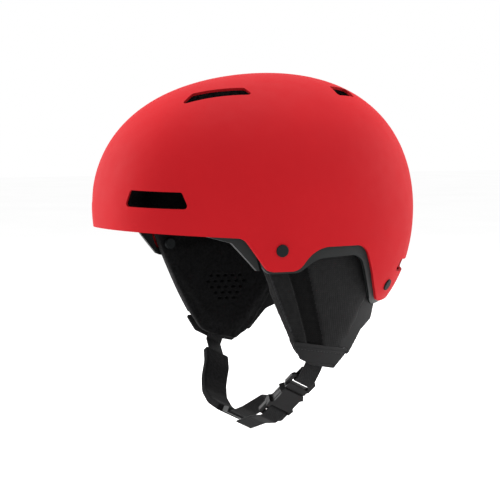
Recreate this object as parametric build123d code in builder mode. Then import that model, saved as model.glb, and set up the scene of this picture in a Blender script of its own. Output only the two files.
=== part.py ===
"""Ski helmet: a hard shell with a foam liner, padded ear flaps and a buckled chin strap.

Frame: origin at the centre of the head opening, level with the brim.
+Z up, the brow faces -Y, the wearer's left ear is on +X. Millimetres.
"""
import os
from math import atan2, cos, hypot, pi, radians, sin, sqrt, tan

from build123d import *

os.makedirs("parts", exist_ok=True)

# ---------------------------------------------------------------- helmet form
half_width = 108.0
roundness = 2.2
# radius of the side outline every 30 degrees, from the brow over the crown
side_radii = [138, 141, 129, 124, 133.5, 140.5, 135, 128, 120, 130, 138, 132.5]
form_base = -65.0
inner_base = -50.0
patch_reach = radians(140)
patch_squareness = 0.3
patch_rows = 25

# ---------------------------------------------------------------- shell and liner
shell_wall = 2.4
vent_margin = 1.8
liner_side = 24.0
liner_profile = 30.0
pad_thickness = 7.0
neck_inset = 17.0
outline_reach = 160.0
# the liner is moulded as a crown and four sectors, whose joints run to these corners (x, y)
liner_crown_level = 62.0
liner_joints = {
    "liner_front": ((-200, -190), (200, -190)),
    "liner_back": ((200, 165), (-200, 165)),
    "liner_left": ((200, -190), (200, 165)),
    "liner_right": ((-200, 165), (-200, -190)),
}
# lower edges in side view, (y, z), brow first
shell_edge = [(-66, -5), (-47, -31), (-23, -31), (-9, -13), (39, -13), (56, -47), (68, -63), (90, -62.5)]
shell_edge_radii = [9, 9, 12, 26, 14, 60, 16, 20]
shell_edge_ends = (0.5, -44)
liner_edge = [(-62, -1), (52, 0), (62, -44), (92, -44)]
liner_edge_radii = [14, 12, 14, 20]
liner_edge_ends = (4.5, -36)
rim_edge = [(-60, 6), (-48.5, -33), (-21, -32.5), (-6, -22), (36, -20.5), (50, -47), (63, -66), (90, -63.8)]
rim_edge_radii = [6, 9, 12, 26, 14, 60, 16, 20]
rim_edge_ends = (10, -46)
rim_wall = 3.0
rim_tuck = 3.5
# skirt that closes the liner's lower edge from the brow to the ear flaps, in side view
brow_trim_inset = 8.0
brow_trim_outline = [
    (-160, 2.6), (-92, -2.8), (-71, -9), (-51.5, -30.5), (-49.5, -30.5), (-57, -7), (-57, 2), (-160, 8),
]

# vents of the left half: four corners on the shell, along the outer long edge first
brow_vent = [(77.8, -102.8, 16.9), (32.3, -134.6, 18.0), (36.4, -132, 30.7), (73.2, -106.6, 29.6)]
front_vent = [(33.8, -87.6, 95.6), (57.6, -36.2, 104.0), (46.4, -38.2, 109.6), (27.2, -73.8, 105.2)]
back_vent = [(59.8, 41.6, 104.7), (52.4, 62.0, 104.0), (37.0, 64.5, 110.6), (46.8, 41.2, 112.4)]
nape_vent = [(38, 116, -38), (80, 84, -38), (77, 90, -28), (42, 117, -28)]
vents = [brow_vent, front_vent, back_vent, nape_vent]
vent_radius = 2.6
vent_depth = 45.0

plug_points = [(104.7, -37.5, -14.8), (81.4, 76.6, -49.1)]
plug_radius = 4.8
plug_head = 1.2
plug_shank_radius = 2.6
plug_shank = 4.5

# ---------------------------------------------------------------- ear flaps
ear_radius = 160.0
ear_centre_y = -15.0
ear_face_x = 96.5
ear_face_z = -50.0
ear_lean = 7.0
ear_bottom = -116.0
ear_top = 2.0
ear_cover_wall = 1.6
ear_lining_wall = 2.4
ear_depth = 14.0
band_wall = 2.4
strip_wall = 2.0
ear_outline = [
    (-54, -7), (-46, -32), (-34, -60), (-21, -86), (-12, -101), (-1, -107),
    (22, -112), (38, -98), (62, -56), (66, -47), (60, -30), (50, -7),
]
panel_outline = [(-53, -8), (-46, -32), (-34, -60), (-21, -86), (27, -96), (62, -53), (66, -47), (59, -30), (49, -8)]
band_outline = [(-21.5, -86.5), (-12.5, -101.5), (-1, -107.5), (22, -112.5), (39, -98.5), (25, -95.5)]
strip_outline = [(22, -99), (38, -103), (53, -84.5), (67, -77), (72, -60), (68, -50), (59.5, -52)]
snap_points = [(-40, -22), (-22, -12)]
snap_radius = 4.5
snap_height = 2.0

# ---------------------------------------------------------------- chin strap
strap_exit_x = 83.4
strap_axis = (4.0, -109.0)
strap_lean = 27.5
web_width = 16.0
web_wall = 1.6
slot_inner = 3.8
slot_outer = 1.5
slot_radius = 9.5
slot_flare = 20.0
chin_pad_width = 25.0
chin_pad_wall = 6.0
keeper_wall = 1.2
keeper_length = 8.0
keeper_centre = (1.5, 56.53)
# buckle: mouth of the socket and direction of its axis in the strap's plane
mouth = (71.0, 23.0)
buckle_axis = (-0.586, 0.810)
socket_height = 9.0
plug_base = 14.5
plug_height = 5.6

# ---------------------------------------------------------------- goggle retainer
retainer_width = 22.0
retainer_hinge = (143.5, 25.0)
retainer_pin_radius = 1.4
retainer_gap = 6.0
retainer_bottom = -14.0

# ---------------------------------------------------------------- rear yoke
yoke_hinge = (96.0, 27.0)
yoke_pin_radius = 1.6
yoke_radius = 68.0
yoke_centre_y = 12.0
yoke_levels = (-46.0, -20.0)
yoke_wall = 2.2
yoke_half_span = 48.0


def side_radius(psi):
    """Radius of the side outline at an angle from the brow, a smooth periodic curve."""
    count = len(side_radii)
    total = 0.0
    for index, radius in enumerate(side_radii):
        half = (psi - 2 * pi * index / count) / 2
        weight = 1.0
        if abs(sin(half)) > 1e-9:
            weight = sin(count * half) / (count * tan(half))
        total += radius * weight
    return total


def skin_point(direction, side_inset=0.0, profile_inset=0.0):
    """Point of the helmet's form in a direction from the origin, inset from the shell's face."""
    across, along, rise = direction
    reach = hypot(along, rise)
    profile = side_radius(atan2(rise, -along)) - profile_inset
    stretch = (abs(across) / (half_width - side_inset)) ** roundness + (reach / profile) ** roundness
    return Vector(*direction) * stretch ** (-1 / roundness)


def form(side_inset, profile_inset, base=form_base):
    """Closed solid of everything inside the helmet's form, down to a flat base."""
    rows = []
    for row in range(patch_rows):
        s = 2 * row / (patch_rows - 1) - 1
        points = []
        for column in range(patch_rows):
            t = 2 * column / (patch_rows - 1) - 1
            forward = s * sqrt(1 - patch_squareness * t * t)
            sideways = t * sqrt(1 - patch_squareness * s * s)
            fall = patch_reach * hypot(forward, sideways)
            turn = atan2(sideways, forward)
            direction = (sin(fall) * cos(turn), sin(fall) * sin(turn), cos(fall))
            points.append(skin_point(direction, side_inset, profile_inset))
        rows.append(points)
    patch = Face.make_surface_from_array_of_points(rows, tol=0.01, min_deg=3, max_deg=5)
    dome = patch.split(Plane.XY.offset(base), keep=Keep.ALL).sort_by(SortBy.AREA)[-1]
    floor = Face(Wire(dome.edges()))
    return Solid(Shell([dome, floor]))


def skin_plane(point, depth=0.0):
    """Plane on the shell under a point, its normal pointing out."""
    spot = Vector(*point)
    step = 0.5
    corner = skin_point(tuple(spot))
    east = skin_point(tuple(spot + Vector(0, step, 0))) - corner
    north = skin_point(tuple(spot + Vector(0, 0, step))) - corner
    outward = east.cross(north).normalized()
    if outward.dot(corner) < 0:
        outward = outward * -1
    return Plane(origin=corner - outward * depth, z_dir=outward)


def view_above(edge, ends, radii, lift=0.0):
    """Side view of everything above a lower edge that runs on to the brow and the nape."""
    front = (-outline_reach, ends[0])
    back = (outline_reach, ends[1])
    corners = [front] + edge + [back]
    points = [(y, z + lift) for y, z in corners]
    top = [(outline_reach, outline_reach), (-outline_reach, outline_reach)]
    with BuildSketch(Plane.YZ) as view:
        with BuildLine():
            Polyline(points + top, close=True)
        make_face()
        for (y, z), radius in zip(points[1:-1], radii):
            fillet(view.vertices().sort_by_distance((y, z, 0))[0], radius)
    return view.sketch


def vent_plane(corners):
    """Plane through a vent, its normal pointing out of the shell."""
    points = [Vector(*corner) for corner in corners]
    centre = (points[0] + points[1] + points[2] + points[3]) * 0.25
    normal = (points[1] - points[0]).cross(points[3] - points[0]).normalized()
    if normal.dot(centre) < 0:
        normal = normal * -1
    return Plane(origin=centre, x_dir=points[1] - points[0], z_dir=normal)


def vent_prisms(grow):
    """Prisms through the shell at every vent, grown all round by an amount."""
    with BuildPart() as prisms:
        for corners in vents:
            plane = vent_plane(corners)
            local = [plane.to_local_coords(Vector(*corner)) for corner in corners]
            with BuildSketch(plane) as opening:
                with BuildLine():
                    Polyline([(point.X, point.Y) for point in local], close=True)
                make_face()
                fillet(opening.vertices(), vent_radius)
                if grow:
                    offset(amount=grow)
            extrude(amount=vent_depth, both=True)
        mirror(about=Plane.YZ)
    return prisms.part


def ear_face(y, z):
    """X of the ear flap's outer face at a place in side view."""
    bow = ear_radius - sqrt(ear_radius ** 2 - (y - ear_centre_y) ** 2)
    return ear_face_x - bow + tan(radians(ear_lean)) * (z - ear_face_z)


def ear_layer(outline, start, end, corner=3.0):
    """Curved panel of the left ear flap, between two depths below its outer face."""
    lean = radians(ear_lean)
    centre_x = ear_face_x - ear_radius + tan(lean) * (ear_bottom - ear_face_z)
    with BuildPart() as layer:
        with BuildSketch(Plane((centre_x, ear_centre_y, ear_bottom))):
            Circle(ear_radius - start)
            Circle(ear_radius - end, mode=Mode.SUBTRACT)
        extrude(amount=(ear_top - ear_bottom) / cos(lean), dir=(sin(lean), 0, cos(lean)))
        with BuildSketch(Plane.YZ) as view:
            with BuildLine():
                Polyline(outline, close=True)
            make_face()
            fillet(view.vertices(), corner)
        extrude(amount=half_width + 20, mode=Mode.INTERSECT)
    return layer.part


def buckle_spot(along, outward):
    """Place in the strap's plane, from the socket's mouth along and out of the buckle's axis."""
    ax, ay = buckle_axis
    return (mouth[0] + ax * along + ay * outward, mouth[1] + ay * along - ax * outward)


def ribbon(points, radii, wall, width):
    """Flat strap of constant thickness along a route in the strap's plane."""
    with BuildPart() as strap:
        with BuildSketch(strap_plane):
            with BuildLine() as route:
                FilletPolyline(points, radius=radii)
            trace(route.edges(), line_width=wall)
        extrude(amount=width / 2, both=True)
    return strap.part


def web_end(side):
    """Rounded end of the webbing that turns inside the flap's slot."""
    plane = Plane(
        origin=(side * strap_exit_x, *strap_axis), x_dir=strap_plane.z_dir, z_dir=(1, 0, 0)
    )
    with BuildPart() as end:
        with BuildSketch(plane):
            Circle(web_width / 2)
            with Locations((0, -web_width / 4 - 0.5)):
                Rectangle(web_width + 1, web_width / 2, mode=Mode.SUBTRACT)
        extrude(amount=web_wall / 2, both=True)
    return end.part


def finish(part, name):
    """Label a finished piece and write it."""
    part.label = name
    export_step(part, f"parts/{name}.step")


# ================================================================ shell and liner
outer_form = form(0, 0)
inner_form = form(shell_wall, shell_wall)
rim_form = form(shell_wall + rim_wall, shell_wall + rim_wall)
cavity_form = form(liner_side, liner_profile, inner_base)
head_form = form(liner_side + pad_thickness, liner_profile + pad_thickness, inner_base)
brow_outer_form = form(brow_trim_inset, brow_trim_inset)
brow_inner_form = form(brow_trim_inset + rim_wall, brow_trim_inset + rim_wall)

with BuildPart() as outer_shell:
    add(outer_form)
    add(inner_form, mode=Mode.SUBTRACT)
    extrude(
        view_above(shell_edge, shell_edge_ends, shell_edge_radii),
        amount=outline_reach, both=True, mode=Mode.INTERSECT,
    )
    add(vent_prisms(0), mode=Mode.SUBTRACT)
    for x_sign in (1, -1):
        for x, y, z in plug_points:
            with BuildSketch(skin_plane((x_sign * x, y, z), plug_shank)):
                Circle(plug_shank_radius)
            extrude(amount=2 * plug_shank, mode=Mode.SUBTRACT)
finish(outer_shell.part, "outer_shell")

with BuildPart() as whole_liner:
    add(inner_form)
    add(cavity_form, mode=Mode.SUBTRACT)
    extrude(
        view_above(liner_edge, liner_edge_ends, liner_edge_radii),
        amount=outline_reach, both=True, mode=Mode.INTERSECT,
    )
    add(vent_prisms(vent_margin), mode=Mode.SUBTRACT)

with BuildPart() as liner_crown:
    add(whole_liner.part)
    with BuildSketch(Plane.XY.offset(liner_crown_level)):
        Rectangle(2 * outline_reach, 2 * outline_reach)
    extrude(amount=outline_reach, mode=Mode.INTERSECT)
finish(liner_crown.part, "liner_crown")

for sector_name, far_corners in liner_joints.items():
    with BuildPart() as sector:
        add(whole_liner.part)
        with BuildSketch(Plane.XY.offset(form_base)):
            with BuildLine():
                Polyline((0, 0), *far_corners, close=True)
            make_face()
        extrude(amount=liner_crown_level - form_base, mode=Mode.INTERSECT)
    finish(sector.part, sector_name)

with BuildPart() as shell_plugs:
    for x_sign in (1, -1):
        for x, y, z in plug_points:
            with BuildSketch(skin_plane((x_sign * x, y, z), 1)):
                Circle(plug_radius)
            extrude(amount=1 + plug_head)
    fillet(shell_plugs.faces().filter_by(GeomType.PLANE).edges(), 0.4)
    add(outer_form, mode=Mode.SUBTRACT)
    for x_sign in (1, -1):
        for x, y, z in plug_points:
            with BuildSketch(skin_plane((x_sign * x, y, z), plug_shank)):
                Circle(plug_shank_radius)
            extrude(amount=plug_shank + plug_head / 2)
finish(shell_plugs.part, "shell_plugs")

with BuildPart() as rim_trim:
    add(inner_form)
    add(rim_form, mode=Mode.SUBTRACT)
    extrude(
        view_above(rim_edge, rim_edge_ends, rim_edge_radii),
        amount=outline_reach, both=True, mode=Mode.INTERSECT,
    )
    extrude(
        view_above(shell_edge, shell_edge_ends, shell_edge_radii, rim_tuck),
        amount=outline_reach, both=True, mode=Mode.SUBTRACT,
    )
    for x_sign in (1, -1):
        for x, y, z in plug_points:
            with BuildSketch(skin_plane((x_sign * x, y, z), 3 * plug_shank)):
                Circle(plug_shank_radius)
            extrude(amount=3 * plug_shank, mode=Mode.SUBTRACT)
finish(rim_trim.part, "rim_trim")

with BuildPart() as brow_trim:
    add(brow_outer_form)
    add(brow_inner_form, mode=Mode.SUBTRACT)
    with BuildSketch(Plane.YZ):
        with BuildLine():
            Polyline(brow_trim_outline, close=True)
        make_face()
    extrude(amount=outline_reach, both=True, mode=Mode.INTERSECT)
    add(whole_liner.part, mode=Mode.SUBTRACT)
finish(brow_trim.part, "brow_trim")

# ================================================================ comfort pads
with BuildPart() as pad_layer:
    add(cavity_form)
    add(head_form, mode=Mode.SUBTRACT)

with BuildPart() as brow_pad:
    add(pad_layer.part)
    with Locations((0, -80, 20)):
        Box(122, 90, 28, mode=Mode.INTERSECT)
finish(brow_pad.part, "brow_pad")

with BuildPart() as crown_pad:
    add(pad_layer.part)
    with BuildSketch(Plane.XY.offset(50)):
        RectangleRounded(74, 124, 24)
    extrude(amount=80, mode=Mode.INTERSECT)
finish(crown_pad.part, "crown_pad")

with BuildPart() as rear_pad:
    add(pad_layer.part)
    with Locations((0, 90, 56)):
        Box(84, 60, 26, mode=Mode.INTERSECT)
finish(rear_pad.part, "rear_pad")

with BuildPart() as side_pad_left:
    add(pad_layer.part)
    with Locations((70, 14, 22)):
        Box(60, 84, 36, mode=Mode.INTERSECT)
finish(side_pad_left.part, "side_pad_left")

with BuildPart() as side_pad_right:
    mirror(side_pad_left.part, about=Plane.YZ)
finish(side_pad_right.part, "side_pad_right")

with BuildPart() as neck_pad:
    add(rim_form)
    add(form(neck_inset, neck_inset), mode=Mode.SUBTRACT)
    with Locations((0, 100, -49.5)):
        Box(152, 50, 9, mode=Mode.INTERSECT)
finish(neck_pad.part, "neck_pad")

# ================================================================ ear flaps
strap_plane = Plane(
    origin=(0, *strap_axis),
    x_dir=(1, 0, 0),
    z_dir=(0, cos(radians(strap_lean)), -sin(radians(strap_lean))),
)
foam_end = ear_depth - ear_lining_wall

with BuildPart() as ear_band_left:
    add(ear_layer(band_outline, ear_cover_wall - band_wall, ear_cover_wall, 2.0))
finish(ear_band_left.part, "ear_band_left")

with BuildPart() as nape_strip_left:
    add(ear_layer(strip_outline, ear_cover_wall - strip_wall, ear_cover_wall, 2.5))
    add(ear_band_left.part, mode=Mode.SUBTRACT)
    add(rim_trim.part, mode=Mode.SUBTRACT)
finish(nape_strip_left.part, "nape_strip_left")

with BuildPart() as ear_cover_left:
    add(ear_layer(panel_outline, 0, ear_cover_wall))
    add(whole_liner.part, mode=Mode.SUBTRACT)
    add(ear_band_left.part, mode=Mode.SUBTRACT)
    add(nape_strip_left.part, mode=Mode.SUBTRACT)
    add(rim_trim.part, mode=Mode.SUBTRACT)
finish(ear_cover_left.part, "ear_cover_left")

with BuildPart() as ear_foam_left:
    add(ear_layer(ear_outline, ear_cover_wall, foam_end))
    add(whole_liner.part, mode=Mode.SUBTRACT)
    with BuildSketch(Plane.YZ.offset(strap_exit_x - slot_inner)):
        with Locations(strap_axis):
            Circle(slot_radius)
        with BuildLine():
            top = strap_axis[1] + slot_radius / 2
            low = strap_axis[1] - slot_radius
            Polyline(
                (strap_axis[0] - slot_radius, top),
                (strap_axis[0] + slot_radius, top),
                (strap_axis[0] + slot_flare, low),
                (strap_axis[0] - slot_flare, low),
                close=True,
            )
        make_face()
    extrude(amount=slot_inner + slot_outer, mode=Mode.SUBTRACT)
finish(ear_foam_left.part, "ear_foam_left")

with BuildPart() as snaps_left:
    for y, z in snap_points:
        with BuildSketch(Plane.YZ.offset(ear_face(y, z) - ear_depth - snap_height)):
            with Locations((y, z)):
                Circle(snap_radius)
        extrude(amount=2 * snap_height - 0.7)

with BuildPart() as ear_lining_left:
    add(ear_layer(ear_outline, foam_end, ear_depth))
    add(whole_liner.part, mode=Mode.SUBTRACT)
    add(snaps_left.part, mode=Mode.SUBTRACT)
finish(ear_lining_left.part, "ear_lining_left")

with BuildPart() as ear_snaps:
    add(snaps_left.part)
    mirror(about=Plane.YZ)
finish(ear_snaps.part, "ear_snaps")

flap_pieces = {
    "ear_cover": ear_cover_left,
    "ear_band": ear_band_left,
    "nape_strip": nape_strip_left,
    "ear_foam": ear_foam_left,
    "ear_lining": ear_lining_left,
}
for piece_name, left_piece in flap_pieces.items():
    with BuildPart() as right_piece:
        mirror(left_piece.part, about=Plane.YZ)
    finish(right_piece.part, f"{piece_name}_right")

# ================================================================ chin strap
chin_route = [(-72, 10.5), (-60, 22.5), (-52.5, 37), (-42, 48), (-26, 54.5), (-6, 57)]
chin_radii = [10, 20, 18, 24]
right_route = (
    [(-strap_exit_x, 0), (-strap_exit_x, 3)] + chin_route
    + [(10, 56), (22, 50), (42, 36), buckle_spot(20, -8), buckle_spot(21, 2.9), buckle_spot(33, 2.9)]
    + [(40, 54.5), (22, 63)]
)
right_radii = [3, 12] + chin_radii + [40, 12, 14, 5, 2.5, 1.6, 4, 14]
left_route = [
    (strap_exit_x, 0), (strap_exit_x, 2.5), buckle_spot(-16, 2.4), buckle_spot(-9.6, 2.4),
    buckle_spot(-9.6, -2.4), buckle_spot(-15.5, -2.4), (strap_exit_x - 2.1, 4.4),
]
left_radii = [4, 2, 1.2, 1.2, 3]

with BuildPart() as webbing_right:
    add(ribbon(right_route, right_radii, web_wall, web_width))
    add(web_end(-1))
finish(webbing_right.part, "webbing_right")

with BuildPart() as webbing_left:
    add(ribbon(left_route, left_radii, web_wall, web_width))
    add(web_end(1))
finish(webbing_left.part, "webbing_left")

with BuildPart() as chin_pad:
    add(ribbon([(-70, 12.5)] + chin_route[1:], chin_radii, chin_pad_wall, chin_pad_width))
    fillet(chin_pad.edges().filter_by(strap_plane), 1.0)
    add(ribbon(right_route[:9], right_radii[:7], web_wall + 0.4, web_width + 0.6), mode=Mode.SUBTRACT)
finish(chin_pad.part, "chin_pad")

with BuildPart() as strap_keeper:
    with BuildSketch(strap_plane):
        with Locations(keeper_centre):
            Rectangle(keeper_length, web_wall + 2 * keeper_wall + 0.6, rotation=-3.6)
    extrude(amount=web_width / 2 + keeper_wall + 0.4, both=True)
    add(ribbon(right_route[:10], right_radii[:8], web_wall + 0.6, web_width + 0.8), mode=Mode.SUBTRACT)
finish(strap_keeper.part, "strap_keeper")

# ================================================================ buckle
axis_x, axis_y = buckle_axis
buckle_plane = Plane(
    origin=strap_plane.from_local_coords(Vector(*mouth, 0)),
    x_dir=strap_plane.x_dir * axis_x + strap_plane.y_dir * axis_y,
    z_dir=strap_plane.x_dir * axis_y - strap_plane.y_dir * axis_x,
)

with BuildPart() as buckle_socket:
    with BuildSketch(buckle_plane) as body_view:
        with BuildLine():
            Polyline(
                (0, -9.5), (4, -12.5), (16, -12.5), (22, -11.5), (22, 11.5), (16, 12.5),
                (4, 12.5), (0, 9.5), close=True,
            )
        make_face()
        fillet(body_view.vertices().group_by(Axis.X)[1], 2.0)
    extrude(amount=socket_height / 2, both=True)
    fillet(buckle_socket.faces().filter_by(buckle_plane).edges(), 1.2)
    with BuildSketch(buckle_plane):
        with Locations((25, 0)):
            RectangleRounded(14, 24, 3)
    extrude(amount=1.6, both=True)
    with BuildSketch(buckle_plane):
        with Locations((9, 0)):
            Rectangle(18.2, 19.6)
    extrude(amount=2.6, both=True, mode=Mode.SUBTRACT)
    with BuildSketch(buckle_plane):
        with Locations((10, 12.2), (10, -12.2)):
            SlotOverall(13, 5.6)
        with Locations((21, 0), (27.2, 0)):
            Rectangle(3.2, 18)
    extrude(amount=socket_height, both=True, mode=Mode.SUBTRACT)
    with BuildSketch(buckle_plane):
        with Locations((21, 0)):
            Rectangle(4.4, 18)
    extrude(amount=socket_height, both=True, mode=Mode.SUBTRACT)
finish(buckle_socket.part, "buckle_socket")

with BuildPart() as buckle_plug:
    with BuildSketch(buckle_plane) as plug_view:
        with BuildLine():
            Polyline(
                (-plug_base, -10.5), (-plug_base, 10.5), (-12.5, 12.2), (-4, 12.2), (-0.4, 9.4),
                (-0.4, -9.4), (-4, -12.2), (-12.5, -12.2), close=True,
            )
        make_face()
        fillet(plug_view.vertices().group_by(Axis.X)[0], 1.2)
        with Locations((-8.5, 0)):
            Rectangle(5.6, 17.4, mode=Mode.SUBTRACT)
    extrude(amount=1.3, both=True)
    with BuildSketch(buckle_plane):
        with Locations((-3.0, 0)):
            Rectangle(5.2, 19.6)
    extrude(amount=plug_height / 2, both=True)
    with BuildSketch(buckle_plane):
        with Locations((7.5, 8.0), (7.5, -8.0)):
            SlotOverall(18, 2.8)
        with Locations((10.5, 8.0), (10.5, -8.0)):
            SlotOverall(9, 3.0)
        with Locations((6.5, 0)):
            SlotOverall(17, 3.6)
    extrude(amount=1.9, both=True)
finish(buckle_plug.part, "buckle_plug")

# ================================================================ goggle retainer
hinge_y, hinge_z = retainer_hinge
seat_y = hinge_y - 5.0
arm_y = seat_y + retainer_gap

with BuildPart() as retainer_base:
    with BuildSketch(Plane.YZ):
        with Locations((seat_y - 5, (hinge_z + 3 + retainer_bottom) / 2)):
            Rectangle(10, hinge_z + 3 - retainer_bottom)
    extrude(amount=retainer_width / 2, both=True)
    fillet(retainer_base.edges().filter_by(Axis.Y), 4)
    with BuildSketch(Plane.YZ.offset(7)):
        with Locations((hinge_y, hinge_z)):
            Circle(3.4)
        with Locations((hinge_y - 3.5, hinge_z)):
            Rectangle(7, 6.8)
    extrude(amount=4)
    mirror(retainer_base.solids()[-1], about=Plane.YZ, mode=Mode.ADD)
    with BuildSketch(Plane.YZ):
        with Locations(retainer_hinge):
            Circle(retainer_pin_radius)
    extrude(amount=retainer_width, both=True, mode=Mode.SUBTRACT)
    add(outer_form, mode=Mode.SUBTRACT)
finish(retainer_base.part, "retainer_base")

with BuildPart() as retainer_pin:
    with BuildSketch(Plane.YZ):
        with Locations(retainer_hinge):
            Circle(retainer_pin_radius)
    extrude(amount=retainer_width / 2, both=True)
finish(retainer_pin.part, "retainer_pin")

with BuildPart() as retainer_stud:
    with BuildSketch(Plane.XZ.offset(-seat_y)):
        with Locations((0, retainer_bottom + 6)):
            Circle(2.2)
    extrude(amount=-(retainer_gap + 1.8))
finish(retainer_stud.part, "retainer_stud")

with BuildPart() as retainer_arm:
    with BuildSketch(Plane.YZ):
        with Locations(retainer_hinge):
            Circle(3.2)
        with Locations((arm_y + 1.4, hinge_z - 4)):
            Rectangle(2.8, 8)
    extrude(amount=6.6, both=True)
    with BuildSketch(Plane.XZ.offset(-arm_y)):
        with Locations((0, (hinge_z - 4 + retainer_bottom) / 2)):
            RectangleRounded(18, hinge_z - 4 - retainer_bottom, 6)
    extrude(amount=-2.8)
    with BuildSketch(Plane.YZ):
        with Locations(retainer_hinge):
            Circle(retainer_pin_radius + 0.3)
    extrude(amount=retainer_width, both=True, mode=Mode.SUBTRACT)
    with BuildSketch(Plane.XZ.offset(-arm_y)):
        with Locations((0, retainer_bottom + 6)):
            Circle(2.7)
    extrude(amount=-3, mode=Mode.SUBTRACT)
finish(retainer_arm.part, "retainer_arm")

with BuildPart() as retainer_cap:
    with BuildSketch(Plane.XZ.offset(-arm_y - 2.8)):
        with Locations((0, retainer_bottom + 6)):
            Circle(4.6)
    extrude(amount=-1.2)
    fillet(retainer_cap.edges().sort_by(Axis.Y)[-1], 0.6)
finish(retainer_cap.part, "retainer_cap")

# ================================================================ rear yoke
yoke_y, yoke_z = yoke_hinge
yoke_low, yoke_high = yoke_levels

with BuildPart() as yoke_bracket:
    with BuildSketch(Plane.YZ):
        with Locations((yoke_y + 12, yoke_z)):
            Rectangle(31, 13)
    extrude(amount=14, both=True)
    with Locations((0, yoke_y - 5, yoke_z)):
        Box(19.2, 22, 20, mode=Mode.SUBTRACT)
    with BuildSketch(Plane.YZ):
        with Locations(yoke_hinge):
            Circle(yoke_pin_radius)
    extrude(amount=20, both=True, mode=Mode.SUBTRACT)
    add(cavity_form, mode=Mode.INTERSECT)
finish(yoke_bracket.part, "yoke_bracket")

with BuildPart() as yoke_pin:
    with BuildSketch(Plane.YZ):
        with Locations(yoke_hinge):
            Circle(yoke_pin_radius)
    extrude(amount=14, both=True)
finish(yoke_pin.part, "yoke_pin")

with BuildPart() as yoke_band:
    with BuildSketch(Plane.XY.offset(yoke_low)):
        with Locations((0, yoke_centre_y)):
            Circle(yoke_radius)
            Circle(yoke_radius - yoke_wall, mode=Mode.SUBTRACT)
    extrude(amount=yoke_high - yoke_low)
    with BuildSketch(Plane.XZ):
        with Locations((0, (yoke_low + yoke_high) / 2)):
            RectangleRounded(2 * yoke_half_span, yoke_high - yoke_low, 9)
    extrude(amount=-half_width, mode=Mode.INTERSECT)
    with BuildSketch(Plane.YZ):
        with BuildLine():
            Line(yoke_hinge, (yoke_centre_y + yoke_radius - yoke_wall / 2, yoke_high - 4))
        trace(line_width=2.6)
        with Locations(yoke_hinge):
            Circle(3.6)
    extrude(amount=9, both=True)
    with BuildSketch(Plane.YZ):
        with Locations(yoke_hinge):
            Circle(yoke_pin_radius + 0.3)
    extrude(amount=20, both=True, mode=Mode.SUBTRACT)
finish(yoke_band.part, "yoke_band")

with BuildPart() as yoke_pad:
    with BuildSketch(Plane.XY.offset(yoke_low + 2)):
        with Locations((0, yoke_centre_y)):
            Circle(yoke_radius - yoke_wall)
            Circle(yoke_radius - yoke_wall - 5, mode=Mode.SUBTRACT)
    extrude(amount=yoke_high - yoke_low - 4)
    with BuildSketch(Plane.XZ):
        with Locations((0, (yoke_low + yoke_high) / 2)):
            RectangleRounded(2 * yoke_half_span - 8, yoke_high - yoke_low - 4, 8)
    extrude(amount=-half_width, mode=Mode.INTERSECT)
    add(yoke_band.part, mode=Mode.SUBTRACT)
finish(yoke_pad.part, "yoke_pad")
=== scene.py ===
"""Looks of the ski helmet: materials, sewn soft parts, webbing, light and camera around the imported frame.

Metres, in the frame of the CAD: X to the wearer's left, Y backwards, Z up. Left-hand pieces are made first
and mirrored in X. Runs in side view are lists of (y, z).
"""
import math

import bmesh
import bpy
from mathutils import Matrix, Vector
from mathutils.bvhtree import BVHTree


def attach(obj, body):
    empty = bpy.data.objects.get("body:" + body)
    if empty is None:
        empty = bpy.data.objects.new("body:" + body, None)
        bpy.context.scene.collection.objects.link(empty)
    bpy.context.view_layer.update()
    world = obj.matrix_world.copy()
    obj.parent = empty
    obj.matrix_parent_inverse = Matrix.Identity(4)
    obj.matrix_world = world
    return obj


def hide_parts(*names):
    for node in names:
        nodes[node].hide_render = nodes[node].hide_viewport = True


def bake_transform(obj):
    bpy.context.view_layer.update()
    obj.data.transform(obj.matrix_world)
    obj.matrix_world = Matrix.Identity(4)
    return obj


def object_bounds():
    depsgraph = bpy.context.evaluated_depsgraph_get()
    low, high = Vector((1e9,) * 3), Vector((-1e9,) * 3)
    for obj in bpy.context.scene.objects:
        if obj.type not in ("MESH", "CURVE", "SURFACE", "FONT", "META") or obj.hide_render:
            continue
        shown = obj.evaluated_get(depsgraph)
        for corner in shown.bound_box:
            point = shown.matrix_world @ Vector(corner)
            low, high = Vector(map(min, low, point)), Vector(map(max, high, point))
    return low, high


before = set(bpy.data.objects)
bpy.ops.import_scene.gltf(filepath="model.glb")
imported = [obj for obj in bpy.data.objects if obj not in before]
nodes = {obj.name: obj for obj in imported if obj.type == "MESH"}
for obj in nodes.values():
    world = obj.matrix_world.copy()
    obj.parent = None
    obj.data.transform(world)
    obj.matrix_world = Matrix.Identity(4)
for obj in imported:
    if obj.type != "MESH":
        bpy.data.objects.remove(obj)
cad_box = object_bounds()
scene = bpy.context.scene


# ---------------------------------------------------------------- material nodes
NOISE = "ShaderNodeTexNoise"
VORONOI = "ShaderNodeTexVoronoi"
WAVE = "ShaderNodeTexWave"
RAMP_START, RAMP_END = 0.3, 0.7


def material(name, colour, roughness, **sockets):
    """Principled material with uniform sockets set on the shader itself."""
    mat = bpy.data.materials.new(name)
    mat.use_nodes = True
    shader = mat.node_tree.nodes["Principled BSDF"]
    shader.inputs["Base Color"].default_value = (*colour, 1)
    shader.inputs["Roughness"].default_value = roughness
    for socket, value in sockets.items():
        shader.inputs[socket.replace("_", " ")].default_value = value
    return mat


def texture(mat, kind, scale, **settings):
    """Procedural texture node on object coordinates; a larger scale gives finer detail."""
    tree = mat.node_tree
    where = tree.nodes.new("ShaderNodeTexCoord")
    node = tree.nodes.new(kind)
    node.inputs["Scale"].default_value = scale
    for setting, value in settings.items():
        if setting in ("detail", "distortion"):
            node.inputs[setting.capitalize()].default_value = value
        else:
            setattr(node, setting, value)
    tree.links.new(where.outputs["Object"], node.inputs["Vector"])
    return node


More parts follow.
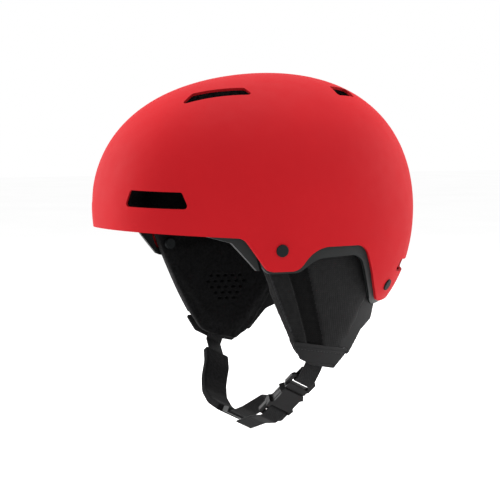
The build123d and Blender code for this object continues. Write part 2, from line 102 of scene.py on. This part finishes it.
def vary_colour(mat, node, low, high):
    """Base colour runs between two colours with a texture."""
    tree = mat.node_tree
    ramp = tree.nodes.new("ShaderNodeValToRGB")
    ramp.color_ramp.elements[0].position = RAMP_START
    ramp.color_ramp.elements[1].position = RAMP_END
    ramp.color_ramp.elements[0].color = (*low, 1)
    ramp.color_ramp.elements[1].color = (*high, 1)
    tree.links.new(node.outputs[0], ramp.inputs["Fac"])
    tree.links.new(ramp.outputs["Color"], tree.nodes["Principled BSDF"].inputs["Base Color"])


def vary_roughness(mat, node, low, high):
    """Roughness runs between two values with a texture."""
    tree = mat.node_tree
    spread = tree.nodes.new("ShaderNodeMapRange")
    spread.inputs["To Min"].default_value = low
    spread.inputs["To Max"].default_value = high
    tree.links.new(node.outputs[0], spread.inputs["Value"])
    tree.links.new(spread.outputs["Result"], tree.nodes["Principled BSDF"].inputs["Roughness"])


def add_bump(mat, node, height, strength):
    """Stacks a bump, its height in metres, on the material's normal."""
    tree = mat.node_tree
    shader = tree.nodes["Principled BSDF"]
    bump = tree.nodes.new("ShaderNodeBump")
    bump.inputs["Distance"].default_value = height
    bump.inputs["Strength"].default_value = strength
    before = shader.inputs["Normal"].links
    if before:
        tree.links.new(before[0].from_socket, bump.inputs["Normal"])
    tree.links.new(node.outputs[0], bump.inputs["Height"])
    tree.links.new(bump.outputs["Normal"], shader.inputs["Normal"])


def scaled(colour, factor):
    """A colour made lighter or darker by a factor."""
    return tuple(factor * channel for channel in colour)


# ---------------------------------------------------------------- materials
def painted_shell():
    """Matte red paint with a faint orange peel."""
    mat = material("painted_shell", (0.385, 0.0075, 0.0115), 0.72, Specular_IOR_Level=0.07)
    patches = texture(mat, NOISE, scale=14, detail=3)
    vary_colour(mat, patches, low=(0.37, 0.007, 0.011), high=(0.40, 0.008, 0.012))
    vary_roughness(mat, texture(mat, NOISE, scale=90, detail=4), low=0.64, high=0.8)
    add_bump(mat, texture(mat, NOISE, scale=1400, detail=2), height=0.00003, strength=0.5)
    return mat


def bead_foam():
    """Expanded foam: packed round beads with dark joints between them."""
    mat = material("bead_foam", (0.012, 0.012, 0.013), 0.85, Specular_IOR_Level=0.15)
    beads = texture(mat, VORONOI, scale=330)
    vary_colour(mat, beads, low=(0.014, 0.014, 0.015), high=(0.006, 0.006, 0.007))
    add_bump(mat, beads, height=0.0006, strength=0.6)
    return mat


def moulded(name, colour, roughness, grain=2200):
    """Moulded plastic or rubber with a fine spark-eroded grain."""
    mat = material(name, colour, roughness, Specular_IOR_Level=0.2)
    speckle = texture(mat, NOISE, scale=grain, detail=5)
    patches = texture(mat, NOISE, scale=40, detail=3)
    vary_colour(mat, patches, low=colour, high=scaled(colour, 1.35))
    vary_roughness(mat, speckle, low=roughness - 0.08, high=roughness + 0.1)
    add_bump(mat, speckle, height=0.00006, strength=0.6)
    return mat


def knit(name, shade):
    """Brushed stretch knit: two crossed sets of fine ribs under a fuzz."""
    # A shade below 1 darkens the colour and cuts the specular and sheen, which makes a copy of the knit
    # with painted shade.
    mat = material(
        name, (0.007, 0.007, 0.0072), 0.8,
        Specular_IOR_Level=0.08 * shade, Sheen_Weight=0.03 * shade,
    )
    vary_colour(
        mat, texture(mat, NOISE, scale=260, detail=6),
        low=scaled((0.0046, 0.0046, 0.0048), shade), high=scaled((0.0085, 0.0085, 0.0087), shade),
    )
    for direction, pitch in (("Z", 190), ("Y", 150)):
        rib = texture(mat, WAVE, scale=pitch, bands_direction=direction, distortion=0.6, detail=1)
        add_bump(mat, rib, height=0.00016, strength=0.5)
    add_bump(mat, texture(mat, NOISE, scale=900, detail=4), height=0.0002, strength=0.4)
    return mat


def fleece(name, colour):
    """Short-pile fleece: clumps of fibre under a fine fuzz."""
    mat = material(name, colour, 0.95, Specular_IOR_Level=0.05, Sheen_Weight=0.03, Sheen_Roughness=0.6)
    clumps = texture(mat, NOISE, scale=420, detail=8, distortion=0.4)
    vary_colour(mat, clumps, low=scaled(colour, 0.6), high=scaled(colour, 2.2))
    add_bump(mat, texture(mat, VORONOI, scale=620), height=0.0004, strength=0.5)
    add_bump(mat, clumps, height=0.0005, strength=0.7)
    return mat


def woven():
    """Flat webbing: fine ribs crossed by slanting picks."""
    mat = material("woven", (0.006, 0.006, 0.0065), 0.7, Specular_IOR_Level=0.15)
    fibres = texture(mat, NOISE, scale=500, detail=5)
    vary_colour(mat, fibres, low=(0.0045, 0.0045, 0.005), high=(0.010, 0.010, 0.0105))
    rib = texture(mat, WAVE, scale=200, bands_direction="Y", distortion=0.2)
    pick = texture(mat, WAVE, scale=260, bands_direction="DIAGONAL", distortion=0.4, detail=1)
    add_bump(mat, rib, height=0.00022, strength=0.6)
    add_bump(mat, pick, height=0.00014, strength=0.5)
    return mat


def steel():
    """Turned steel with faint tool lines."""
    mat = material("steel", (0.5, 0.5, 0.5), 0.3, Metallic=1.0)
    vary_roughness(mat, texture(mat, NOISE, scale=700, detail=4), low=0.22, high=0.4)
    add_bump(mat, texture(mat, WAVE, scale=900), height=0.00002, strength=0.4)
    return mat


SHELL = painted_shell()
FOAM = bead_foam()
TRIM = moulded("edge_trim", (0.0075, 0.0085, 0.0085), 0.55)
PLUG = moulded("plug_rubber", (0.0035, 0.0045, 0.005), 0.75)
STRIP = moulded("strip_rubber", (0.0042, 0.0042, 0.0046), 0.7, grain=1500)
BUCKLE = moulded("buckle_plastic", (0.0048, 0.0045, 0.0048), 0.5, grain=1800)
YOKE = moulded("yoke_plastic", (0.01, 0.01, 0.011), 0.5)
# Painted shade: a darker copy of the knit for the panel set back under the front panel's folded edge.
KNIT = knit("knit", shade=1.0)
SHADED_KNIT = knit("painted_shade_knit", shade=0.45)
FLEECE = fleece("fleece", (0.0028, 0.0028, 0.003))
WEB = woven()
STEEL = steel()
THREAD = moulded("thread", (0.014, 0.014, 0.015), 0.7)
PIPING = fleece("piping", (0.010, 0.010, 0.0105))


# ---------------------------------------------------------------- meshes and objects
def add_object(name, data):
    """New object in the scene."""
    made = bpy.data.objects.new(name, data)
    scene.collection.objects.link(made)
    return made


def mesh_from(name, shape):
    """New mesh holding a bmesh, which is freed."""
    mesh = bpy.data.meshes.new(name)
    shape.to_mesh(mesh)
    shape.free()
    return mesh


def surface_of(piece):
    """Tree of a piece's surface, to cast rays at."""
    shape = bmesh.new()
    shape.from_mesh(piece.data)
    tree = BVHTree.FromBMesh(shape)
    shape.free()
    return tree


def copy_of(name, *sources):
    """New object holding the joined meshes of some CAD nodes."""
    joined = bmesh.new()
    for source in sources:
        joined.from_mesh(nodes[source].data)
    return add_object(name, mesh_from(name, joined))


def mirrored(name, piece):
    """The other side's piece, mirrored in X."""
    twin = add_object(name, piece.data.copy())
    for vertex in twin.data.vertices:
        vertex.co.x = -vertex.co.x
    twin.data.flip_normals()
    return twin


def coat(piece, mat):
    """A single material all over."""
    piece.data.materials.clear()
    piece.data.materials.append(mat)


def smooth_shade(piece):
    for face in piece.data.polygons:
        face.use_smooth = True


# ---------------------------------------------------------------- soft pieces
CLOTH_PRESSURE = 4.0
CLOTH_QUALITY = 4
CLOTH_FRAMES = 20
PAD_VOXEL = 0.0035
PAD_CAP = 0.004
PAD_SHRINK = 0.0006


def settle(piece):
    """Applies every modifier on a piece to its mesh."""
    graph = bpy.context.evaluated_depsgraph_get()
    baked = bpy.data.meshes.new_from_object(piece.evaluated_get(graph))
    piece.modifiers.clear()
    piece.data = baked


def remesh(piece, voxel, smooth):
    """Even quads all over, with the corners eased."""
    step = piece.modifiers.new("remesh", "REMESH")
    step.mode = "VOXEL"
    step.voxel_size = voxel
    ease = piece.modifiers.new("ease", "SMOOTH")
    ease.factor = 0.5
    ease.iterations = smooth
    settle(piece)


def swell(piece, cap, shrink):
    """Cloth pressure rounds a shrunk pad, each point ending no further than the cap from its start."""
    start = [vertex.co.copy() for vertex in piece.data.vertices]
    normals = [vertex.normal.copy() for vertex in piece.data.vertices]
    for vertex, normal in zip(piece.data.vertices, normals):
        vertex.co -= normal * shrink
    cloth = piece.modifiers.new("cloth", "CLOTH")
    cloth.settings.use_pressure = True
    cloth.settings.uniform_pressure_force = CLOTH_PRESSURE
    cloth.settings.quality = CLOTH_QUALITY
    cloth.settings.effector_weights.gravity = 0.0
    cloth.point_cache.frame_end = CLOTH_FRAMES
    for number in range(1, CLOTH_FRAMES + 1):
        scene.frame_set(number)
    settle(piece)
    scene.frame_set(1)
    for vertex, origin in zip(piece.data.vertices, start):
        move = vertex.co - origin
        if move.length > cap:
            vertex.co = origin + move * (cap / move.length)


def subdivide(piece):
    """One more level of smooth subdivision, applied."""
    step = piece.modifiers.new("subdivide", "SUBSURF")
    step.levels = 1
    step.render_levels = 1
    settle(piece)


def place(piece, body, slot, *replaced):
    """Rides on a body and stands for its CAD nodes, which it hides; the slot argument is not used."""
    smooth_shade(piece)
    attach(piece, body)
    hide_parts(*replaced)


def lay(piece):
    """A sewn-on detail of the helmet that stands for no CAD node."""
    smooth_shade(piece)
    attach(piece, "helmet")


def pad(node, body, voxel=PAD_VOXEL, cap=PAD_CAP):
    """Crowned comfort pad in the place of a CAD node."""
    piece = copy_of(node + "_soft", node)
    remesh(piece, voxel, smooth=6)
    swell(piece, cap, PAD_SHRINK)
    subdivide(piece)
    coat(piece, FLEECE)
    place(piece, body, "fleece", node)


# ---------------------------------------------------------------- sewing
FACES_OUT = 0.3
OUTSIDE_X = 0.2
STITCH_PITCH = 0.0032
STITCH_LENGTH = 0.0021
STITCH_RADIUS = 0.00032
STITCH_SIDES = 6
# (place along the stitch, share of its radius)
STITCH_RINGS = ((-0.5, 0.35), (-0.36, 0.9), (0, 1.1), (0.36, 0.9), (0.5, 0.35))
STITCH_CROWN = 0.75
STITCH_BOW = 2.2
PIPING_RADIUS = 0.0009
PIPING_RUN = [
    (-0.0490, -0.014), (-0.0455, -0.024), (-0.0425, -0.032), (-0.0370, -0.045),
    (-0.0305, -0.060), (-0.0245, -0.072), (-0.0185, -0.084),
]


def segment_distance(y, z, a, b):
    """Distance in side view from a point to a segment."""
    dy, dz = b[0] - a[0], b[1] - a[1]
    t = ((y - a[0]) * dy + (z - a[1]) * dz) / (dy * dy + dz * dz)
    t = min(1.0, max(0.0, t))
    return math.hypot(y - a[0] - t * dy, z - a[1] - t * dz)


def side_of(line, y, z):
    """Signed distance in side view behind a seam that runs downwards."""
    (ay, az), (by, bz) = line
    return ((y - ay) * (az - bz) - (z - az) * (ay - by)) / math.hypot(by - ay, bz - az)


def smooth_step(value):
    value = min(1.0, max(0.0, value))
    return value * value * (3 - 2 * value)


def sew(piece, seams, width, depth):
    """Draws the surface in along sewn seams on the outer face."""
    for vertex in piece.data.vertices:
        if vertex.normal.x < FACES_OUT:
            continue
        draw = 0.0
        for a, b in seams:
            away = segment_distance(vertex.co.y, vertex.co.z, a, b)
            draw = max(draw, math.exp(-(away / width) ** 2))
        vertex.co.x -= depth * draw


def stitches(name, tree, a, b):
    """A row of thread stitches lying on a surface, from one point to another in side view."""
    shape = bmesh.new()
    span = math.dist(a, b)
    for index in range(int(span / STITCH_PITCH)):
        goal = (index + 0.5) * STITCH_PITCH
        y = a[0] + (b[0] - a[0]) * goal / span
        z = a[1] + (b[1] - a[1]) * goal / span
        hit, normal, _, _ = tree.ray_cast(Vector((OUTSIDE_X, y, z)), Vector((-1, 0, 0)))
        if hit is None:
            continue
        along = Vector((0, b[0] - a[0], b[1] - a[1])).normalized()
        across = normal.cross(along).normalized()
        along = across.cross(normal).normalized()
        rings = []
        for step, size in STITCH_RINGS:
            lift = STITCH_CROWN - STITCH_BOW * step * step
            centre = hit + along * (STITCH_LENGTH * step) + normal * STITCH_RADIUS * lift
            ring = []
            for corner in range(STITCH_SIDES):
                angle = corner * math.tau / STITCH_SIDES
                spoke = across * math.cos(angle) + normal * math.sin(angle)
                ring.append(shape.verts.new(centre + spoke * STITCH_RADIUS * size))
            rings.append(ring)
        for low, high in zip(rings, rings[1:]):
            for corner in range(STITCH_SIDES):
                after = (corner + 1) % STITCH_SIDES
                shape.faces.new((low[corner], low[after], high[after], high[corner]))
        shape.faces.new(rings[0][::-1])
        shape.faces.new(rings[-1])
    bmesh.ops.recalc_face_normals(shape, faces=shape.faces)
    row = add_object(name, mesh_from(name, shape))
    coat(row, THREAD)
    return row


def edging(name, tree, run, radius):
    """Thin cloth piping laid on a surface along a run in side view."""
    curve = bpy.data.curves.new(name, "CURVE")
    curve.dimensions = "3D"
    curve.bevel_depth = radius
    curve.bevel_resolution = 3
    curve.use_fill_caps = True
    spline = curve.splines.new("NURBS")
    spots = []
    for y, z in run:
        hit = tree.ray_cast(Vector((OUTSIDE_X, y, z)), Vector((-1, 0, 0)))[0]
        if hit is not None:
            spots.append(hit)
    spline.points.add(len(spots) - 1)
    for point, spot in zip(spline.points, spots):
        point.co = (*spot, 1)
    spline.order_u = 3
    spline.use_endpoint_u = True
    drawn = add_object(name, curve)
    graph = bpy.context.evaluated_depsgraph_get()
    mesh = bpy.data.meshes.new_from_object(drawn.evaluated_get(graph))
    bpy.data.objects.remove(drawn)
    return add_object(name, mesh)


# ---------------------------------------------------------------- ear flaps
FRONT_SEAM = [(-0.030, -0.030), (-0.008, -0.088)]
BACK_SEAM = [(-0.012, -0.030), (0.009, -0.092)]
SEAM_WIDTH = 0.0009
SEAM_DEPTH = 0.0008
FOLD_WIDTH = 0.0009
BACK_FOLD_WIDTH = 3 * FOLD_WIDTH
FOLD_DEPTH = 0.0013
EDGE_SWELL_WIDTH = 5 * FOLD_WIDTH
EDGE_SWELL = 0.5 * FOLD_DEPTH
LINING_BELOW = 0.1
HOLE_ROWS = (5, 6, 5, 4, 3)
MIDDLE_ROW = 2
HOLE_PITCH = (0.0066, 0.0050)
HOLE_CENTRE = (0.012, -0.062)
HOLE_SIZE = (0.0036, 0.0022)
HOLE_DEPTH = 0.0022
HOLE_ROUNDING = 0.0004


def recess(piece):
    """Sets the panel between the two seams back under the front panel's folded edge."""
    for vertex in piece.data.vertices:
        if vertex.normal.x < FACES_OUT:
            continue
        y, z = vertex.co.y, vertex.co.z
        past_front = side_of(FRONT_SEAM, y, z)
        before_back = -side_of(BACK_SEAM, y, z)
        inside = min(smooth_step(past_front / FOLD_WIDTH), smooth_step(before_back / BACK_FOLD_WIDTH))
        vertex.co.x -= FOLD_DEPTH * inside
        if past_front <= 0:
            away = segment_distance(y, z, *FRONT_SEAM)
            vertex.co.x += EDGE_SWELL * math.exp(-(away / EDGE_SWELL_WIDTH) ** 2)


def perforate(piece, tree):
    """Cuts the rows of listening holes into the lining."""
    cutters = bmesh.new()
    for row, count in enumerate(HOLE_ROWS):
        for column in range(count):
            y = HOLE_CENTRE[0] + (column - (count - 1) / 2) * HOLE_PITCH[0]
            z = HOLE_CENTRE[1] - (row - MIDDLE_ROW) * HOLE_PITCH[1]
            hit = tree.ray_cast(Vector((0, y, z)), Vector((1, 0, 0)))[0]
            made = bmesh.ops.create_cube(cutters, size=1)["verts"]
            bmesh.ops.scale(cutters, vec=(2 * HOLE_DEPTH, *HOLE_SIZE), verts=made)
            bmesh.ops.translate(cutters, vec=hit, verts=made)
    bmesh.ops.bevel(cutters, geom=cutters.edges[:], offset=HOLE_ROUNDING, segments=2, affect="EDGES")
    tool = add_object("cutters", mesh_from("cutters", cutters))
    cut = piece.modifiers.new("cut", "BOOLEAN")
    cut.object = tool
    cut.solver = "EXACT"
    settle(piece)
    bpy.data.objects.remove(tool)


def pad_materials(piece):
    """Knit outside, with painted shade (a darker copy of the knit) on the panel set back between the seams,
    and fleece inside and round the edge.
    """
    piece.data.materials.clear()
    for mat in (KNIT, FLEECE, SHADED_KNIT):
        piece.data.materials.append(mat)
    for face in piece.data.polygons:
        y, z = face.center.y, face.center.z
        if face.normal.x < LINING_BELOW:
            face.material_index = 1
        elif side_of(FRONT_SEAM, y, z) > 0 > side_of(BACK_SEAM, y, z):
            # painted shade on the panel between the seams
            face.material_index = 2


core = copy_of("ear_pad_left", "ear_cover_left", "ear_foam_left", "ear_lining_left")
remesh(core, voxel=0.0030, smooth=6)
swell(core, cap=0.0022, shrink=0.0016)
remesh(core, voxel=0.0012, smooth=4)
recess(core)
sew(core, [BACK_SEAM], SEAM_WIDTH, SEAM_DEPTH)
core_surface = surface_of(core)
perforate(core, core_surface)
pad_materials(core)
twin = mirrored("ear_pad_right", core)
piping = edging("ear_piping_left", core_surface, PIPING_RUN, PIPING_RADIUS)
piping_twin = mirrored("ear_piping_right", piping)
for tube in (piping, piping_twin):
    coat(tube, PIPING)
    lay(tube)
place(core, "helmet", "knit", "ear_cover_left", "ear_foam_left", "ear_lining_left")
place(twin, "helmet", "knit", "ear_cover_right", "ear_foam_right", "ear_lining_right")

RUBBER_VOXEL = 0.0006
BAND_SEAMS = [[(-0.018, -0.0905), (0.034, -0.1005)], [(-0.008, -0.1035), (0.021, -0.1095)]]
BAND_SEAM_WIDTH = 0.0006
BAND_SEAM_DEPTH = 0.0006
BAND_STITCH_ENDS = ((-0.017, -0.0925), (0.033, -0.1022))

band = copy_of("ear_band_soft_left", "ear_band_left")
remesh(band, RUBBER_VOXEL, smooth=4)
sew(band, BAND_SEAMS, BAND_SEAM_WIDTH, BAND_SEAM_DEPTH)
coat(band, STRIP)
row = stitches("band_stitches_0_left", surface_of(band), *BAND_STITCH_ENDS)
row_twin = mirrored("band_stitches_0_right", row)
for thread in (row, row_twin):
    lay(thread)
band_twin = mirrored("ear_band_soft_right", band)
place(band, "helmet", "strip", "ear_band_left")
place(band_twin, "helmet", "strip", "ear_band_right")

strip = copy_of("nape_strip_soft_left", "nape_strip_left")
remesh(strip, RUBBER_VOXEL, smooth=4)
coat(strip, STRIP)
strip_twin = mirrored("nape_strip_soft_right", strip)
place(strip, "helmet", "strip", "nape_strip_left")
place(strip_twin, "helmet", "strip", "nape_strip_right")

# ---------------------------------------------------------------- comfort pads
for node in ("brow_pad", "crown_pad", "rear_pad", "side_pad_left", "side_pad_right", "neck_pad"):
    pad(node, "helmet")
pad("yoke_pad", "yoke", voxel=0.0022, cap=0.0012)


def cross_strap(piece, node):
    """Fabric of the right-hand strap, which on the helmet is held by the flap at one end and moved by the
    buckle; here it hides its CAD node and has its transform baked into the mesh.
    """
    smooth_shade(piece)
    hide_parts(node)
    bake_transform(piece)


sleeve = copy_of("chin_pad_soft", "chin_pad")
remesh(sleeve, voxel=0.0009, smooth=6)
coat(sleeve, FLEECE)
cross_strap(sleeve, "chin_pad")

web_right = copy_of("webbing_right_woven", "webbing_right")
remesh(web_right, voxel=0.0005, smooth=2)
coat(web_right, WEB)
cross_strap(web_right, "webbing_right")

web_left = copy_of("webbing_left_woven", "webbing_left")
remesh(web_left, voxel=0.0004, smooth=2)
coat(web_left, WEB)
place(web_left, "left_strap", "webbing", "webbing_left")

# ---------------------------------------------------------------- carried-over nodes
CARRIED_OVER = {
    "outer_shell": SHELL,
    "liner_crown": FOAM, "liner_front": FOAM, "liner_back": FOAM, "liner_left": FOAM, "liner_right": FOAM,
    "rim_trim": TRIM, "brow_trim": TRIM, "shell_plugs": PLUG, "ear_snaps": PLUG,
    "buckle_socket": BUCKLE, "buckle_plug": BUCKLE, "strap_keeper": TRIM,
    "retainer_base": BUCKLE, "retainer_pin": STEEL, "retainer_stud": STEEL,
    "retainer_arm": TRIM, "retainer_cap": BUCKLE,
    "yoke_bracket": YOKE, "yoke_pin": STEEL, "yoke_band": YOKE,
}
for node, mat in CARRIED_OVER.items():
    coat(nodes[node], mat)

# ---------------------------------------------------------------- stage
FLOOR_HALF = 8
FLOOR_GAP = 0.03

floor_shape = bmesh.new()
bmesh.ops.create_grid(floor_shape, x_segments=1, y_segments=1, size=FLOOR_HALF)
floor = add_object("floor", mesh_from("floor", floor_shape))
floor.location.z = cad_box[0][2] - FLOOR_GAP
paper = material("paper", (0.98, 0.98, 0.98), 1.0, Specular_IOR_Level=0.0)
vary_colour(paper, texture(paper, NOISE, scale=3), low=(0.97, 0.97, 0.97), high=(0.99, 0.99, 0.99))
coat(floor, paper)

world = bpy.data.worlds.new("studio")
world.use_nodes = True
world.node_tree.nodes["Background"].inputs["Color"].default_value = (1, 1, 1, 1)
world.node_tree.nodes["Background"].inputs["Strength"].default_value = 1.0
scene.world = world
scene.view_settings.view_transform = "Standard"


def turn_to(thing, aim):
    """Points a lamp or camera from its location at a spot."""
    thing.rotation_euler = (Vector(aim) - thing.location).to_track_quat("-Z", "Y").to_euler()


def softbox(name, location, aim, size, watts):
    """Square area light aimed at a point."""
    data = bpy.data.lights.new(name, "AREA")
    data.energy = watts
    data.size = size
    lamp = add_object(name, data)
    lamp.location = location
    turn_to(lamp, aim)


softbox("overhead", location=(-0.15, 0.1, 1.0), aim=(0, 0, 0.05), size=0.7, watts=9.5)
softbox("brow_side", location=(-0.84, -0.74, 0.32), aim=(0, 0, 0.02), size=0.6, watts=12.5)
softbox("back_side", location=(0.16, 1.08, 0.33), aim=(0, 0, 0.02), size=0.6, watts=8.5)

camera_data = bpy.data.cameras.new("camera")
camera_data.sensor_width = 36
camera_data.lens = 94.6
camera = add_object("camera", camera_data)
camera.location = (0.9529, -0.5456, 0.0693)
turn_to(camera, (-0.00108, -0.00586, -0.02309))
scene.camera = camera
